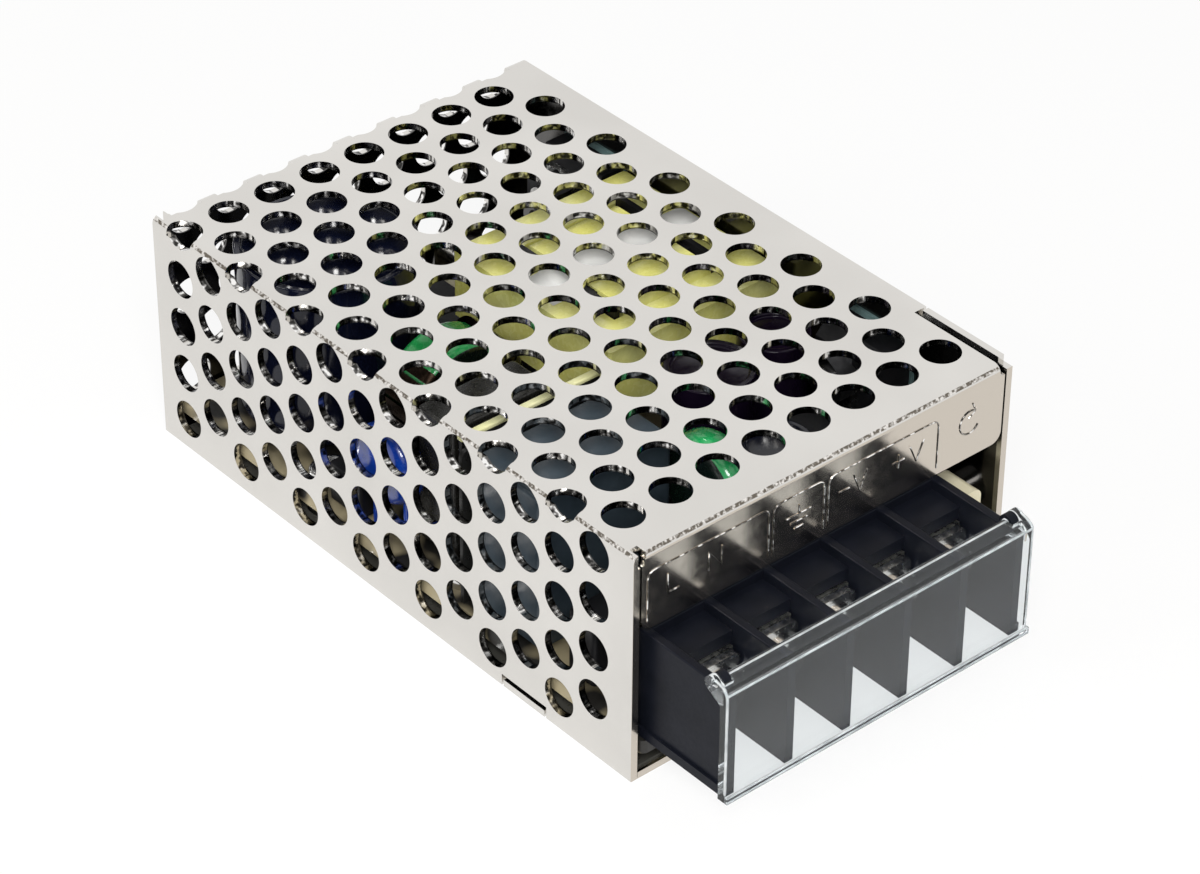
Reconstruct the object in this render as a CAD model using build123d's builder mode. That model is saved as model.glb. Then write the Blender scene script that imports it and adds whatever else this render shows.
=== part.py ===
"""Enclosed switching power supply in a perforated sheet-metal case.

Millimetres. X runs across, from the perforated side wall to the plain one, Y runs from the
terminals to the back, Z is up. The origin is the middle of the case's base.
"""
from build123d import *
from math import cos, floor, radians, sin
import os

os.makedirs("parts", exist_ok=True)

# Case and sheet
case_width = 51.0
case_length = 78.0
case_height = 28.0
sheet = 0.8
bend_inside = 0.2
seam_gap = 0.25
flange_drop = 9.6
flange_corner = 1.3

# Punched holes: a hexagonal field that runs over the folds
hole_diameter = 4.4
hole_pitch = 6.1
row_pitch = 5.2
first_row = 5.8
fold_inset = 0.64
bend_allowance = 0.3
field_margin = 1.2

# How the two sheet parts meet
edge_notch_length = 12.6
edge_notch_width = 1.7
notch_clearance = 0.3
foot_notch_start = 13.0
foot_notch_length = 7.0
foot_notch_height = 1.4
back_tab_width = 7.0
back_tab_height = 9.4
back_tab_positions = (28.1, 40.3)
cover_screw_height = 6.3
cover_screw_radius = 1.45
cover_screw_head = 2.2
cover_screw_length = 3.0
countersink_angle = 90.0
tab_margin = 4.6

# Fixing holes for the user, tapped in drawn collars
tap_radius = 1.25
collar_radius = 2.2
collar_height = 1.2
base_hole_spacing = 55.0
wall_hole_spacing = 68.0
wall_hole_height = 9.5

# Circuit board and what carries it
board_thickness = 1.6
board_gap = 2.2
stack_height = sheet + board_gap + board_thickness
board_side_gap = 0.35
board_overhang = 0.3
sheet_insulator = 0.3
insulator_inset = 0.6
insulator_clearance = 0.3
board_corner = 0.8
standoff_radius = 2.5
board_screw_head = 2.5
board_screw_radius = 1.2
board_screw_head_height = 1.4
screw_tip_gap = 0.4
board_screw_points = ((5.0, 31.5), (46.0, 9.4), (45.9, 72.0), (4.9, 54.4))

# Terminal block
terminals = 5
terminal_pitch = 7.75
barrier = 1.0
block_left = 2.0
flange_clearance = 0.8
block_reach = 11.2
bay_depth = 7.6
block_inside = 1.5
foot_band = 0.3
foot_band_height = 1.1
crest_round = 0.2
bay_recess = 1.2
recess_wall = 1.0
ear_root = 0.4
contact_drop = 5.6
contact_width = 6.3
contact_tall = 5.6
contact_thick = 0.7
tail_width = 1.6
tail_thick = 0.8
tail_gap = 0.15
tail_reach = 1.6
seat_gap = 0.1
screw_bore_gap = 0.3
plate_width = 6.2
plate_tall = 5.5
plate_thick = 0.9
plate_corner = 0.5
groove_step = 0.9
groove_radius = 0.3
groove_lift = 0.1
wing_thick = 0.6
wing_reach = 0.8
wing_tall = 1.6
screw_head_radius = 2.35
screw_head_thick = 1.9
screw_radius = 1.45
screw_length = 5.6
edge_break = 0.3
screw_clearance = 0.05
screw_travel = 2.0
slot_width = 0.7
slot_depth = 0.9
cross_slot = 2.8

# Hinged clear cover over the terminals
lid_thick = 0.8
lid_panel_thick = 1.0
lid_rim_thick = 0.35
lid_rim_height = 0.8
lid_gap = 0.1
cheek = 0.7
hinge_back = 10.0
hinge_lift = 0.45
ear_radius = 0.9
cheek_radius = 0.95
cheek_drop = 1.9
lid_edge = 0.2
pin_radius = 0.5
running_gap = 0.05
lid_lift = 0.05

# Adjusting potentiometer beside the terminals
trimmer_left = 43.2
trimmer_width = 4.6
trimmer_depth = 4.5
trimmer_height = 8.8
trimmer_setback = 0.1
trimmer_corner = 1.0
knob_height = 6.0
knob_radius = 1.9
knob_reach = 3.0
knob_stem_radius = 1.3
knob_stem_length = 2.4

# Transformer
core_across = 37.2
core_back = 45.3
core_width = 23.6
core_depth = 25.0
core_thick = 8.0
core_drop = 8.4
core_yoke = 4.0
core_leg = 4.0
core_post = 6.0
core_joint = 0.4
bobbin_wall = 0.7
bobbin_foot = 0.6
pin_pitch = 3.5
bobbin_pin_radius = 0.4
post_gap = 0.15
winding_bottom = 11.0
winding_drop = 3.0
winding_gap = 0.3
winding_end_gap = 0.8
winding_corner = 1.5
tape_thick = 0.4

# Capacitors: node, place on the board, diameter and height
bulk_point = (14.0, 66.0)
bulk_diameter = 20.0
cover_clearance = 2.2
lead_radius = 0.35
can_foot = 0.3
can_neck = 0.45
can_rim = 0.8
can_recess = 0.4
lead_spread = 0.45
round_capacitors = (
    ("bulk_capacitor", bulk_point, bulk_diameter, case_height - sheet - cover_clearance - stack_height),
    ("output_capacitor_1", (33.5, 26.3), 10.0, 16.5),
    ("output_capacitor_2", (43.5, 27.3), 8.0, 16.0),
    ("output_capacitor_3", (31.2, 13.6), 8.0, 15.0),
    ("supply_capacitor", (41.6, 62.6), 5.0, 11.0),
)

# Moulded blocks: node, place, width, depth and height, corner radius
block_foot = 0.4
top_round = 0.6
moulded_blocks = (
    ("line_capacitor", (11.4, 22.2), (17.5, 10.4, 19.0), 0.8),
    ("filter_capacitor", (12.0, 37.2), (13.0, 6.0, 16.8), 0.6),
    ("line_fuse", (7.0, 11.0), (8.4, 4.2, 8.0), 0.6),
    ("bridge_rectifier", (5.6, 48.6), (6.6, 5.4, 5.0), 0.4),
)

# Discs across the case: node, place, diameter, thickness, height of the centre over the board
disc_round = 0.4
disc_spread = 0.28
discs = (
    ("surge_suppressor", (3.6, 42.3), 9.2, 3.2, 9.3),
    ("inrush_limiter", (23.0, 14.2), 12.0, 4.4, 13.0),
    ("safety_capacitor", (27.0, 6.2), 8.0, 3.0, 8.5),
)

# Filter choke
choke_across = 16.6
choke_back = 48.6
choke_outer = 7.2
choke_inner = 3.6
choke_thick = 6.0
choke_round = 0.8
wire_thick = 0.8
choke_turns = 9
turn_step = 12.0
turn_width = 9.6
saddle_thick = 0.8
saddle_height = 3.4
saddle_gap = 0.1

# Output choke
drum_point = (39.6, 16.2)
drum_radius = 4.0
drum_height = 12.0
drum_flange = 1.5
drum_waist = 0.6

# Power packages on the plain wall
pad_thick = 0.3
pad_wide = 10.4
pad_rise = 0.8
pad_drop = 1.0
package_thick = 4.5
package_wide = 9.6
package_tall = 15.8
package_foot = 2.6
lead_pitch = 2.54
rectifier_back = 18.2
switch_gap = 0.8
bar_thick = 1.0
bar_wide = 3.6
bar_rise = 2.6
bar_drop = 9.0
fixing_drop = 3.2
fixing_radius = 1.45
fixing_head_radius = 2.2
fixing_tip = 0.5
nut_radius = 2.9
nut_thick = 2.2

# Chips: node, place, body width and depth
chip_foot = 0.5
chip_tall = 3.2
leg_thick = 0.3
leg_wide = 1.2
chip_edge = 0.4
chips = (
    ("control_chip", (31.5, 68.6), (6.4, 9.6)),
    ("optocoupler", (29.6, 61.0), (6.4, 4.6)),
)

# Parts on bent leads: node, barrel radius and length, and where each one lies
axial_lift = 0.3
axial_bend = 1.4
axial_parts = (
    ("resistors", 1.1, 6.2, ((36.2, 69.6), (39.0, 68.9), (15.2, 8.0), (20.9, 38.0))),
    ("diodes", 1.4, 5.0, ((36.0, 60.5), (18.6, 8.0))),
)

# Insulating wall
wall_across = 1.8
wall_back = 28.2
wall_width = 20.0
wall_thick = 0.5
wall_height = 19.2
wall_corner = 1.0

# Derived positions
left_x = -case_width / 2
right_x = case_width / 2
front_y = -case_length / 2
back_y = case_length / 2
bend_outside = bend_inside + sheet
punch_depth = bend_outside + bend_inside
hole_radius = hole_diameter / 2
board_bottom = sheet + board_gap
board_top = stack_height
block_width = terminals * terminal_pitch + barrier
block_front = front_y - block_reach
bay_back = block_front + bay_depth
flange_bottom = case_height - flange_drop
block_top = flange_bottom - flange_clearance
contact_height = block_top - contact_drop
tail_height = contact_height + screw_radius + tail_gap
wall_inside = right_x - sheet
fixing_z = board_top + package_foot + package_tall - fixing_drop
package_points = (
    ("output_rectifier", front_y + rectifier_back),
    (
        "switching_transistor",
        front_y + core_back + core_depth / 2 + tape_thick + switch_gap + package_wide / 2,
    ),
)


def spot(across, back):
    """A place on the board, measured from the perforated wall and from the front face."""
    return left_x + across, front_y + back


def keep(builder, node):
    """Name a finished piece and write it."""
    builder.part.label = node
    export_step(builder.part, f"parts/{node}.step")


def between(low, high, mode=Mode.ADD):
    """A box from its lowest to its highest corner."""
    size = [b - a for a, b in zip(low, high)]
    with Locations(tuple((a + b) / 2 for a, b in zip(low, high))):
        return Box(*size, mode=mode)


def rod(start, direction, radius, length, mode=Mode.ADD):
    """A cylinder that starts at a point and runs along a direction."""
    with Locations(Plane(origin=start, z_dir=direction)):
        return Cylinder(radius, length, align=(Align.CENTER, Align.CENTER, Align.MIN), mode=mode)


def countersunk(face, direction, head_radius, radius, length):
    """A flat-headed screw with a crossed slot, from the middle of its face inward."""
    head = head_radius - radius
    middle = tuple(a + b * head / 2 for a, b in zip(face, direction))
    with Locations(Plane(origin=middle, z_dir=direction)):
        Cone(head_radius, radius, head)
    rod(tuple(a + b * head for a, b in zip(face, direction)), direction, radius, length - head)
    with Locations(Plane(origin=face, z_dir=direction)):
        for size in ((cross_slot, slot_width, slot_depth), (slot_width, cross_slot, slot_depth)):
            Box(*size, mode=Mode.SUBTRACT)


# The punched field, in distances from the left fold and from the front face
def across_positions(row):
    """Hole centres across the top in one row, without the one on the left fold."""
    first = fold_inset + hole_pitch * (0.5 if row % 2 == 0 else 1.0)
    last = case_width - field_margin - hole_radius
    count = floor((last - first) / hole_pitch) + 1
    return [first + hole_pitch * i for i in range(count)]


def down_positions(row):
    """Heights of the hole centres down the side wall in one row."""
    first = case_height + fold_inset - bend_allowance - hole_pitch * (0.5 if row % 2 == 0 else 1.0)
    count = floor((first - hole_radius - field_margin) / hole_pitch) + 1
    return [first - hole_pitch * i for i in range(count)]


top_rows = floor((case_length - first_row - hole_radius - field_margin / 2) / row_pitch) + 1
row_back = [first_row + row_pitch * k for k in range(top_rows + 1)]
past_fold = row_back[top_rows] - case_length
back_row_top = case_height - past_fold - bend_allowance
back_rows = floor((back_row_top - hole_radius - field_margin) / row_pitch) + 1

top_holes = [(left_x + u, front_y + row_back[k]) for k in range(top_rows + 1) for u in across_positions(k)]
top_holes += [(left_x + fold_inset, front_y + row_back[k]) for k in range(1, top_rows, 2)]
side_holes = [(front_y + row_back[k], z) for k in range(top_rows) for z in down_positions(k)]
side_holes += [
    (front_y + row_back[k], case_height + fold_inset - bend_allowance) for k in range(1, top_rows, 2)
]
back_holes = [
    (left_x + u, back_row_top - row_pitch * j)
    for j in range(back_rows)
    for u in across_positions(top_rows + j)
    if not any(
        abs(u - tab) < tab_margin and back_row_top - row_pitch * j < back_tab_height
        for tab in back_tab_positions
    )
]

# Perforated cover: top, left side, back and front flange folded from one sheet
with BuildPart() as mesh_cover:
    with BuildSketch(Plane.XZ.offset(-back_y)) as side_fold:
        strip = sheet + 3 * seam_gap
        with Locations((left_x, 0)):
            Rectangle(strip, case_height, align=(Align.MIN, Align.MIN))
        with Locations((left_x + sheet, 0)):
            Rectangle(strip, case_height - sheet, align=(Align.MIN, Align.MIN), mode=Mode.SUBTRACT)
        fillet(side_fold.vertices().sort_by_distance((left_x, case_height, 0))[0], bend_outside)
        inner = (left_x + sheet, case_height - sheet, 0)
        fillet(side_fold.vertices().sort_by_distance(inner)[0], bend_inside)
    extrude(amount=case_length)
    with BuildSketch(Plane.YZ.offset(left_x + sheet + seam_gap)) as end_folds:
        with Locations((0, 0)):
            Rectangle(case_length, case_height, align=(Align.CENTER, Align.MIN))
            Rectangle(
                case_length - 2 * sheet,
                case_height - sheet,
                align=(Align.CENTER, Align.MIN),
                mode=Mode.SUBTRACT,
            )
        with Locations((front_y, 0)):
            Rectangle(sheet, case_height - flange_drop, align=(Align.MIN, Align.MIN), mode=Mode.SUBTRACT)
        for y in (front_y, back_y):
            fillet(end_folds.vertices().sort_by_distance((y, case_height, 0))[0], bend_outside)
        for y in (front_y + sheet, back_y - sheet):
            fillet(end_folds.vertices().sort_by_distance((y, case_height - sheet, 0))[0], bend_inside)
    extrude(amount=case_width - sheet - seam_gap)
    # The flange ends beside the plain wall's front edge
    notch_bottom = case_height - bend_outside - notch_clearance
    between(
        (right_x - sheet - seam_gap, front_y - sheet, -sheet),
        (right_x + sheet, front_y + sheet + seam_gap, notch_bottom),
        mode=Mode.SUBTRACT,
    )
    flange_ends = mesh_cover.edges().filter_by(Axis.Y).filter_by(
        lambda e: abs(e.center().Z - flange_bottom) < sheet / 4 and e.center().Y < front_y + sheet
    )
    fillet(flange_ends, flange_corner)
    # Relief at the two corners where three walls meet
    relief = bend_outside + seam_gap
    for y in (front_y, back_y - relief):
        between(
            (left_x + sheet - seam_gap, y, case_height - relief - sheet / 2),
            (left_x + sheet + relief / 2, y + relief, case_height + sheet),
            mode=Mode.SUBTRACT,
        )
    # Notch over the plain wall's tab, and the notch that hooks on the base
    between(
        (right_x - edge_notch_width, front_y - sheet, notch_bottom),
        (right_x + sheet, front_y + edge_notch_length, case_height + sheet),
        mode=Mode.SUBTRACT,
    )
    between(
        (left_x - sheet, front_y + foot_notch_start, -sheet),
        (left_x + 2 * sheet, front_y + foot_notch_start + foot_notch_length, foot_notch_height),
        mode=Mode.SUBTRACT,
    )
    with BuildSketch(Plane.XY.offset(case_height)):
        with Locations(*top_holes):
            Circle(hole_radius)
    extrude(amount=-punch_depth, mode=Mode.SUBTRACT)
    with BuildSketch(Plane.YZ.offset(left_x)):
        with Locations(*side_holes):
            Circle(hole_radius)
    extrude(amount=punch_depth, mode=Mode.SUBTRACT)
    with BuildSketch(Plane.XZ.offset(-back_y)):
        with Locations(*back_holes):
            Circle(hole_radius)
    extrude(amount=punch_depth, mode=Mode.SUBTRACT)
    for tab in back_tab_positions:
        with Locations(Location((left_x + tab, back_y, cover_screw_height), (-90, 0, 0))):
            CounterSinkHole(
                radius=cover_screw_radius + running_gap,
                counter_sink_radius=cover_screw_head,
                counter_sink_angle=countersink_angle,
                depth=sheet + bend_inside,
            )
keep(mesh_cover, "mesh_cover")

# Base and plain side wall folded from one sheet
wall_top = case_height - sheet
plate_left = left_x + sheet + 0.05
plate_back = back_y - sheet - 0.05
base_holes = [(0, y) for y in (-base_hole_spacing / 2, base_hole_spacing / 2)]
wall_holes = [(y, wall_hole_height) for y in (-wall_hole_spacing / 2, wall_hole_spacing / 2)]
with BuildPart() as base_chassis:
    with BuildSketch(Plane.XZ.offset(-plate_back)) as floor_fold:
        with Locations((right_x, 0)):
            Rectangle(right_x - plate_left, wall_top, align=(Align.MAX, Align.MIN))
        with Locations((right_x - sheet, sheet)):
            Rectangle(case_width, case_height, align=(Align.MAX, Align.MIN), mode=Mode.SUBTRACT)
        fillet(floor_fold.vertices().sort_by_distance((right_x, 0, 0))[0], bend_outside)
        fillet(floor_fold.vertices().sort_by_distance((right_x - sheet, sheet, 0))[0], bend_inside)
    extrude(amount=plate_back - front_y)
    # The wall stands up into the cover's notch
    between(
        (right_x - sheet, front_y + bend_outside + notch_clearance, wall_top - sheet),
        (right_x, front_y + edge_notch_length - notch_clearance, case_height),
    )
    between(
        (left_x, front_y + foot_notch_start + notch_clearance, 0),
        (plate_left + sheet, front_y + foot_notch_start + foot_notch_length - notch_clearance, sheet),
    )
    for tab in back_tab_positions:
        between(
            (left_x + tab - back_tab_width / 2, plate_back - sheet, 0),
            (left_x + tab + back_tab_width / 2, plate_back, back_tab_height),
        )
    for x, y in base_holes:
        rod((x, y, sheet / 2), (0, 0, 1), collar_radius, sheet / 2 + collar_height)
        rod((x, y, -sheet), (0, 0, 1), tap_radius, 4 * sheet, mode=Mode.SUBTRACT)
    for y, z in wall_holes:
        rod((right_x - sheet / 2, y, z), (-1, 0, 0), collar_radius, sheet / 2 + collar_height)
        rod((right_x + sheet, y, z), (-1, 0, 0), tap_radius, 4 * sheet, mode=Mode.SUBTRACT)
    for tab in back_tab_positions:
        rod(
            (left_x + tab, plate_back + sheet, cover_screw_height), (0, -1, 0),
            cover_screw_radius + running_gap, 3 * sheet, mode=Mode.SUBTRACT,
        )
    for _, y in package_points:
        with Locations(Location((right_x, y, fixing_z), (0, 90, 0))):
            CounterSinkHole(
                radius=fixing_radius + running_gap,
                counter_sink_radius=fixing_head_radius,
                counter_sink_angle=countersink_angle,
                depth=sheet + bend_inside,
            )
keep(base_chassis, "base_chassis")

# Screws that hold the cover to the base, from behind
with BuildPart() as cover_screws:
    for tab in back_tab_positions:
        countersunk(
            (left_x + tab, back_y, cover_screw_height), (0, -1, 0), cover_screw_head, cover_screw_radius,
            cover_screw_length + sheet,
        )
keep(cover_screws, "cover_screws")

# Insulating sheet under the board
with BuildPart() as insulating_sheet:
    between(
        (left_x + sheet + insulator_inset, front_y + insulator_inset, sheet),
        (right_x - sheet - insulator_inset, plate_back - sheet - insulator_inset, sheet + sheet_insulator),
    )
    for point in board_screw_points:
        rod(
            (*spot(*point), 0), (0, 0, 1), standoff_radius + insulator_clearance, board_bottom,
            mode=Mode.SUBTRACT,
        )
    for x, y in base_holes:
        rod((x, y, 0), (0, 0, 1), collar_radius + insulator_clearance, board_bottom, mode=Mode.SUBTRACT)
keep(insulating_sheet, "insulating_sheet")

# Spacers riveted to the base, and the screws that hold the board on them
screw_reach = board_gap + board_thickness - screw_tip_gap
with BuildPart() as board_standoffs:
    for point in board_screw_points:
        rod((*spot(*point), sheet), (0, 0, 1), standoff_radius, board_gap)
        rod(
            (*spot(*point), sheet), (0, 0, 1), board_screw_radius + running_gap, board_gap,
            mode=Mode.SUBTRACT,
        )
keep(board_standoffs, "board_standoffs")

with BuildPart() as board_screws:
    for point in board_screw_points:
        x, y = spot(*point)
        rod((x, y, board_top), (0, 0, -1), board_screw_radius, screw_reach)
        rod((x, y, board_top), (0, 0, 1), board_screw_head, board_screw_head_height)
        head_rim = Vector(x, y, board_top + board_screw_head_height)
        rims = board_screws.edges().filter_by(GeomType.CIRCLE)
        fillet(rims.filter_by(lambda e: (e.arc_center - head_rim).length < 0.01), board_screw_head_height / 2)
        for length, width in ((board_screw_head, slot_width), (slot_width, board_screw_head)):
            between(
                (x - length / 2, y - width / 2, board_top + board_screw_head_height / 3),
                (x + length / 2, y + width / 2, board_top + 2 * board_screw_head_height),
                mode=Mode.SUBTRACT,
            )
keep(board_screws, "board_screws")

# Circuit board, notched round the back tabs
with BuildPart() as circuit_board:
    board_back = plate_back - board_side_gap
    between(
        (left_x + sheet + board_side_gap, front_y - board_overhang, board_bottom),
        (right_x - sheet - board_side_gap, board_back, board_top),
    )
    fillet(circuit_board.edges().filter_by(Axis.Z), board_corner)
    for tab in back_tab_positions:
        between(
            (left_x + tab - back_tab_width / 2 - notch_clearance, plate_back - sheet - notch_clearance, 0),
            (left_x + tab + back_tab_width / 2 + notch_clearance, board_back + sheet, board_top + sheet),
            mode=Mode.SUBTRACT,
        )
    for point in board_screw_points:
        rod((*spot(*point), 0), (0, 0, 1), board_screw_radius + running_gap, case_height, mode=Mode.SUBTRACT)
keep(circuit_board, "circuit_board")

# Terminal block: a back wall with barriers, open in front and below
block_x = left_x + block_left
block_back = front_y + block_inside
bay_centres = [block_x + barrier / 2 + terminal_pitch * (i + 0.5) for i in range(terminals)]
barrier_centres = [block_x + barrier / 2 + terminal_pitch * i for i in range(terminals + 1)]
hinge_y = front_y - hinge_back
hinge_z = block_top + hinge_lift
block_bottom = board_top
with BuildPart() as terminal_block:
    between((block_x, bay_back, block_bottom), (block_x + block_width, block_back, block_top))
    for x in barrier_centres:
        between((x - barrier / 2, block_front, block_bottom), (x + barrier / 2, bay_back, block_top))
    # Foot band round the two ends
    for low, high in (
        (block_x - foot_band, block_x),
        (block_x + block_width, block_x + block_width + foot_band),
    ):
        between((low, block_front, block_bottom), (high, block_back, block_bottom + foot_band_height))
    # The barriers stand over the wall between them
    for x in bay_centres:
        between(
            (x - (terminal_pitch - barrier) / 2, bay_back - barrier, block_top - bay_recess),
            (x + (terminal_pitch - barrier) / 2, block_back - recess_wall, block_top + 1),
            mode=Mode.SUBTRACT,
        )
    fillet(terminal_block.faces().sort_by(Axis.Z)[-1].edges(), crest_round)
    for x in bay_centres:
        # Seat for the contact, clearance for its screw, and a slot for its tail
        wide = contact_width / 2 + seat_gap
        tall = contact_tall / 2 + seat_gap
        between(
            (x - wide, bay_back - 1, contact_height - tall),
            (x + wide, bay_back + contact_thick / 2, contact_height + tall),
            mode=Mode.SUBTRACT,
        )
        rod(
            (x, bay_back - 1, contact_height), (0, 1, 0), screw_radius + screw_bore_gap, screw_length,
            mode=Mode.SUBTRACT,
        )
        between(
            (x - tail_width / 2 - seat_gap, bay_back - 1, tail_height - seat_gap),
            (x + tail_width / 2 + seat_gap, block_back + 1, tail_height + tail_thick + seat_gap),
            mode=Mode.SUBTRACT,
        )
    # Hinge ears over the end barriers
    for x in (barrier_centres[0], barrier_centres[-1]):
        between(
            (x - barrier / 2, hinge_y - ear_radius, block_top - ear_root),
            (x + barrier / 2, hinge_y + ear_radius, hinge_z),
        )
        rod((x - barrier / 2, hinge_y, hinge_z), (1, 0, 0), ear_radius, barrier)
        rod(
            (x - barrier, hinge_y, hinge_z), (1, 0, 0), pin_radius + running_gap, 2 * barrier,
            mode=Mode.SUBTRACT,
        )
keep(terminal_block, "terminal_block")

# Contacts: a tapped plate in each bay, with a tail to the board
contact_back = bay_back + contact_thick / 2
contact_front = contact_back - contact_thick
with BuildPart() as terminal_contacts:
    for x in bay_centres:
        between(
            (x - contact_width / 2, contact_front, contact_height - contact_tall / 2),
            (x + contact_width / 2, contact_back, contact_height + contact_tall / 2),
        )
        between(
            (x - tail_width / 2, contact_back, tail_height),
            (x + tail_width / 2, block_back + tail_reach, tail_height + tail_thick),
        )
        between(
            (x - tail_width / 2, block_back + tail_reach - tail_thick, board_top),
            (x + tail_width / 2, block_back + tail_reach, tail_height + tail_thick),
        )
        rod(
            (x, contact_front - 1, contact_height), (0, 1, 0), screw_radius + screw_clearance, 3,
            mode=Mode.SUBTRACT,
        )
keep(terminal_contacts, "terminal_contacts")

# Wire clamps and their screws, one of each in every bay
clamp_back = contact_front - seat_gap
clamp_front = clamp_back - plate_thick
for number, x in enumerate(bay_centres, 1):
    with BuildPart() as clamp_plate:
        between(
            (x - plate_width / 2, clamp_front, contact_height - plate_tall / 2),
            (x + plate_width / 2, clamp_back, contact_height + plate_tall / 2),
        )
        fillet(clamp_plate.edges().filter_by(Axis.Y), plate_corner)
        # Wings bent forward at both sides keep the wire under the plate
        for low, high in (
            (x - plate_width / 2, x - plate_width / 2 + wing_thick),
            (x + plate_width / 2 - wing_thick, x + plate_width / 2),
        ):
            between(
                (low, clamp_front - wing_reach, contact_height - wing_tall / 2),
                (high, clamp_front, contact_height + wing_tall / 2),
            )
        # Grooves across the back grip the wire
        for step in (-2, -1, 1, 2):
            rod(
                (x - plate_width, clamp_back + groove_lift, contact_height + step * groove_step), (1, 0, 0),
                groove_radius, 2 * plate_width, mode=Mode.SUBTRACT,
            )
        rod(
            (x, clamp_back + 1, contact_height), (0, -1, 0), screw_radius + screw_clearance, 4,
            mode=Mode.SUBTRACT,
        )
    keep(clamp_plate, f"clamp_plate_{number}")

    with BuildPart() as terminal_screw:
        rod((x, clamp_front, contact_height), (0, -1, 0), screw_head_radius, screw_head_thick)
        fillet(terminal_screw.edges().filter_by(GeomType.CIRCLE).sort_by(Axis.Y)[0], screw_head_thick / 3)
        rod((x, clamp_front, contact_height), (0, 1, 0), screw_radius, screw_length)
        chamfer(terminal_screw.edges().filter_by(GeomType.CIRCLE).sort_by(Axis.Y)[-1], edge_break)
        head_front = clamp_front - screw_head_thick
        for wide, tall in ((2 * screw_head_radius, slot_width), (slot_width, cross_slot)):
            between(
                (x - wide / 2, head_front - 1, contact_height - tall / 2),
                (x + wide / 2, head_front + slot_depth, contact_height + tall / 2),
                mode=Mode.SUBTRACT,
            )
    keep(terminal_screw, f"terminal_screw_{number}")

# Clear hinged cover: panel, top strip between the ears, cheeks and hinge pins
lid_inside = block_front - lid_gap
lid_front = lid_inside - lid_panel_thick
lid_bottom = block_top + lid_lift
lid_top = lid_bottom + lid_thick
lid_left = block_x - lid_gap - cheek
lid_right = block_x + block_width + lid_gap + cheek
strip_back = hinge_y - ear_radius - 3 * running_gap
with BuildPart() as terminal_cover:
    between((lid_left, lid_front, block_bottom + lid_lift), (lid_right, lid_inside, lid_top))
    between((lid_left, lid_inside, lid_bottom), (lid_right, strip_back, lid_top))
    between(
        (block_x + barrier + lid_gap, strip_back, lid_bottom),
        (block_x + block_width - barrier - lid_gap, hinge_y, lid_top),
    )
    rod(
        (block_x + barrier + lid_gap, hinge_y, hinge_z), (1, 0, 0), lid_thick / 2,
        block_width - 2 * barrier - 2 * lid_gap,
    )
    fillet(
        terminal_cover.edges().filter_by(Axis.X).filter_by(
            lambda e: e.center().Z > lid_top - 0.01 and e.center().Y < lid_front + 0.01
        ),
        lid_thick * 0.8,
    )
    fillet(terminal_cover.edges().group_by(Axis.Y)[0].filter_by(Axis.Z), lid_edge)
    # Rim along the lower edge of the panel
    between(
        (lid_left, lid_front - lid_rim_thick, block_bottom + lid_lift),
        (lid_right, lid_front, block_bottom + lid_lift + lid_rim_height),
    )
    for low, high, inward in (
        (lid_left, lid_left + cheek, 1),
        (lid_right - cheek, lid_right, -1),
    ):
        with BuildSketch(Plane.YZ.offset(low)):
            with BuildLine():
                Polyline(
                    (lid_inside, lid_top),
                    (hinge_y, hinge_z + cheek_radius),
                    (hinge_y, hinge_z - cheek_radius),
                    (lid_inside, hinge_z - cheek_drop),
                    (lid_inside, lid_top),
                )
            make_face()
            with Locations((hinge_y, hinge_z)):
                Circle(cheek_radius)
        extrude(amount=high - low)
        start = high if inward == 1 else low
        rod((start, hinge_y, hinge_z), (inward, 0, 0), pin_radius, lid_gap + barrier)
keep(terminal_cover, "terminal_cover")

# Adjusting potentiometer: a body on the board and a slotted knob facing forward
trimmer_x = left_x + trimmer_left
knob_x = trimmer_x + trimmer_width / 2
trimmer_front = front_y + trimmer_setback
knob_z = board_top + knob_height
with BuildPart() as trimmer_body:
    between(
        (trimmer_x, trimmer_front, board_top),
        (trimmer_x + trimmer_width, trimmer_front + trimmer_depth, board_top + trimmer_height),
    )
    fillet(trimmer_body.edges().filter_by(Axis.Y).group_by(Axis.Z)[-1], trimmer_corner)
    rod(
        (knob_x, trimmer_front - 1, knob_z), (0, 1, 0), knob_stem_radius + running_gap, knob_stem_length + 1,
        mode=Mode.SUBTRACT,
    )
keep(trimmer_body, "trimmer_body")

knob_back = trimmer_front - running_gap
with BuildPart() as trimmer_knob:
    rod((knob_x, knob_back, knob_z), (0, -1, 0), knob_radius, knob_reach)
    chamfer(trimmer_knob.edges().filter_by(GeomType.CIRCLE).sort_by(Axis.Y)[0], edge_break)
    rod((knob_x, knob_back, knob_z), (0, 1, 0), knob_stem_radius, knob_stem_length - running_gap)
    between(
        (knob_x - knob_radius, knob_back - knob_reach - 1, knob_z - slot_width / 2),
        (knob_x + knob_radius, knob_back - knob_reach + slot_depth, knob_z + slot_width / 2),
        mode=Mode.SUBTRACT,
    )
keep(trimmer_knob, "trimmer_knob")

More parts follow.
